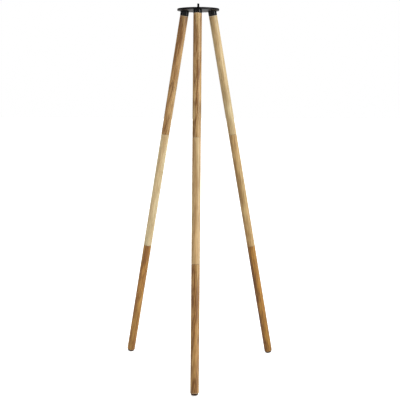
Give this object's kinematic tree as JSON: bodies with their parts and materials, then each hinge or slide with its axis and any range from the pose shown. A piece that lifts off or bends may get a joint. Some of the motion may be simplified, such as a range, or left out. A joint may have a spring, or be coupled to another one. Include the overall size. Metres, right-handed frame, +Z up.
{
  "type": "wooden tripod",
  "caption": "Take-apart wooden tripod: a round black plate with a camera screw on legs of turned wooden sections that screw together, with rubber foot pads.",
  "frame": {"origin": "on the floor, straight below the centre of the plate", "axes": "+Z up, -Y towards the front leg, +X towards the right leg's side"},
  "size_m": [0.46, 0.4016, 1.0705],
  "materials": {
    "black_coated_metal": "semi-gloss black powder coat",
    "blackened_screw": "blackened steel",
    "black_fibre": "matt black fibre",
    "zinc_plated_steel": "bright zinc plating",
    "brass": "machined",
    "dark_rubber": "matt",
    "wood_mid_brown": "oiled, satin",
    "wood_light_tan": "oiled, satin",
    "wood_brown": "oiled, satin",
    "wood_red_brown": "oiled, satin",
    "wood_cream": "oiled, satin",
    "wood_orange_brown": "oiled, satin",
    "wood_yellow_cream": "oiled, satin",
    "wood_mid_tan": "oiled, satin",
    "wood_dark_olive": "oiled, satin"
  },
  "bodies": {
    "plate_assembly": {"top_plate": "black_coated_metal", "socket_screws": "blackened_screw", "front_leg_socket": "black_coated_metal", "right_leg_socket": "black_coated_metal", "left_leg_socket": "black_coated_metal"},
    "camera_screw": {"camera_screw": "black_coated_metal", "camera_screw_knob": "black_coated_metal", "camera_screw_washer": "black_fibre"},
    "front_upper_washer": {"front_upper_washer": "black_fibre"},
    "front_upper_section": {"front_upper_section": "wood_mid_brown", "front_upper_bolt": "zinc_plated_steel", "front_upper_insert": "brass"},
    "front_middle_washer": {"front_middle_washer": "black_fibre"},
    "front_middle_section": {"front_middle_section": "wood_light_tan", "front_middle_bolt": "zinc_plated_steel", "front_middle_insert": "brass"},
    "front_lower_washer": {"front_lower_washer": "black_fibre"},
    "front_lower_section": {"front_lower_section": "wood_brown", "front_lower_bolt": "zinc_plated_steel", "front_foot_pad": "dark_rubber", "front_foot_screw": "zinc_plated_steel"},
    "right_upper_washer": {"right_upper_washer": "black_fibre"},
    "right_upper_section": {"right_upper_section": "wood_yellow_cream", "right_upper_bolt": "zinc_plated_steel", "right_upper_insert": "brass"},
    "right_middle_washer": {"right_middle_washer": "black_fibre"},
    "right_middle_section": {"right_middle_section": "wood_mid_tan", "right_middle_bolt": "zinc_plated_steel", "right_middle_insert": "brass"},
    "right_lower_washer": {"right_lower_washer": "black_fibre"},
    "right_lower_section": {"right_lower_section": "wood_dark_olive", "right_lower_bolt": "zinc_plated_steel", "right_foot_pad": "dark_rubber", "right_foot_screw": "zinc_plated_steel"},
    "left_upper_washer": {"left_upper_washer": "black_fibre"},
    "left_upper_section": {"left_upper_section": "wood_red_brown", "left_upper_bolt": "zinc_plated_steel", "left_upper_insert": "brass"},
    "left_middle_washer": {"left_middle_washer": "black_fibre"},
    "left_middle_section": {"left_middle_section": "wood_cream", "left_middle_bolt": "zinc_plated_steel", "left_middle_insert": "brass"},
    "left_lower_washer": {"left_lower_washer": "black_fibre"},
    "left_lower_section": {"left_lower_section": "wood_orange_brown", "left_lower_bolt": "zinc_plated_steel", "left_foot_pad": "dark_rubber", "left_foot_screw": "zinc_plated_steel"}
  },
  "joints": [
    {"name": "camera_screw_turn", "type": "hinge", "parent": "plate_assembly", "child": "camera_screw", "pos_m": [0, 0, 1.05554], "axis": [0, 0, 1], "continuous": true},
    {"name": "front_upper_draw", "type": "slide", "parent": "plate_assembly", "child": "front_upper_washer", "axis": [0, -0.1942, -0.981], "range_m": [0, 0.01125]},
    {"name": "front_upper_unscrew", "type": "hinge", "parent": "front_upper_washer", "child": "front_upper_section", "pos_m": [0, -0.04795, 1.03818], "axis": [0, -0.1942, -0.981], "range_deg": [0, 3240]},
    {"name": "front_middle_draw", "type": "slide", "parent": "front_upper_section", "child": "front_middle_washer", "axis": [0, -0.1942, -0.981], "range_m": [0, 0.0175]},
    {"name": "front_middle_unscrew", "type": "hinge", "parent": "front_middle_washer", "child": "front_middle_section", "pos_m": [0, -0.11605, 0.69426], "axis": [0, -0.1942, -0.981], "range_deg": [0, 5040]},
    {"name": "front_lower_draw", "type": "slide", "parent": "front_middle_section", "child": "front_lower_washer", "axis": [0, -0.1942, -0.981], "range_m": [0, 0.0175]},
    {"name": "front_lower_unscrew", "type": "hinge", "parent": "front_lower_washer", "child": "front_lower_section", "pos_m": [0, -0.18414, 0.35034], "axis": [0, -0.1942, -0.981], "range_deg": [0, 5040]},
    {"name": "right_upper_draw", "type": "slide", "parent": "plate_assembly", "child": "right_upper_washer", "axis": [0.1682, 0.0971, -0.981], "range_m": [0, 0.01125]},
    {"name": "right_upper_unscrew", "type": "hinge", "parent": "right_upper_washer", "child": "right_upper_section", "pos_m": [0.04152, 0.02397, 1.03818], "axis": [0.1682, 0.0971, -0.981], "range_deg": [0, 3240]},
    {"name": "right_middle_draw", "type": "slide", "parent": "right_upper_section", "child": "right_middle_washer", "axis": [0.1682, 0.0971, -0.981], "range_m": [0, 0.0175]},
    {"name": "right_middle_unscrew", "type": "hinge", "parent": "right_middle_washer", "child": "right_middle_section", "pos_m": [0.1005, 0.05802, 0.69426], "axis": [0.1682, 0.0971, -0.981], "range_deg": [0, 5040]},
    {"name": "right_lower_draw", "type": "slide", "parent": "right_middle_section", "child": "right_lower_washer", "axis": [0.1682, 0.0971, -0.981], "range_m": [0, 0.0175]},
    {"name": "right_lower_unscrew", "type": "hinge", "parent": "right_lower_washer", "child": "right_lower_section", "pos_m": [0.15947, 0.09207, 0.35034], "axis": [0.1682, 0.0971, -0.981], "range_deg": [0, 5040]},
    {"name": "left_upper_draw", "type": "slide", "parent": "plate_assembly", "child": "left_upper_washer", "axis": [-0.1682, 0.0971, -0.981], "range_m": [0, 0.01125]},
    {"name": "left_upper_unscrew", "type": "hinge", "parent": "left_upper_washer", "child": "left_upper_section", "pos_m": [-0.04152, 0.02397, 1.03818], "axis": [-0.1682, 0.0971, -0.981], "range_deg": [0, 3240]},
    {"name": "left_middle_draw", "type": "slide", "parent": "left_upper_section", "child": "left_middle_washer", "axis": [-0.1682, 0.0971, -0.981], "range_m": [0, 0.0175]},
    {"name": "left_middle_unscrew", "type": "hinge", "parent": "left_middle_washer", "child": "left_middle_section", "pos_m": [-0.1005, 0.05802, 0.69426], "axis": [-0.1682, 0.0971, -0.981], "range_deg": [0, 5040]},
    {"name": "left_lower_draw", "type": "slide", "parent": "left_middle_section", "child": "left_lower_washer", "axis": [-0.1682, 0.0971, -0.981], "range_m": [0, 0.0175]},
    {"name": "left_lower_unscrew", "type": "hinge", "parent": "left_lower_washer", "child": "left_lower_section", "pos_m": [-0.15947, 0.09207, 0.35034], "axis": [-0.1682, 0.0971, -0.981], "range_deg": [0, 5040]}
  ],
  "couplings": [
    {"joint": "front_upper_unscrew", "follows": "front_upper_draw", "rad_per_m": 5026.5},
    {"joint": "front_middle_unscrew", "follows": "front_middle_draw", "rad_per_m": 5026.5},
    {"joint": "front_lower_unscrew", "follows": "front_lower_draw", "rad_per_m": 5026.5},
    {"joint": "right_upper_unscrew", "follows": "right_upper_draw", "rad_per_m": 5026.5},
    {"joint": "right_middle_unscrew", "follows": "right_middle_draw", "rad_per_m": 5026.5},
    {"joint": "right_lower_unscrew", "follows": "right_lower_draw", "rad_per_m": 5026.5},
    {"joint": "left_upper_unscrew", "follows": "left_upper_draw", "rad_per_m": 5026.5},
    {"joint": "left_middle_unscrew", "follows": "left_middle_draw", "rad_per_m": 5026.5},
    {"joint": "left_lower_unscrew", "follows": "left_lower_draw", "rad_per_m": 5026.5}
  ]
}
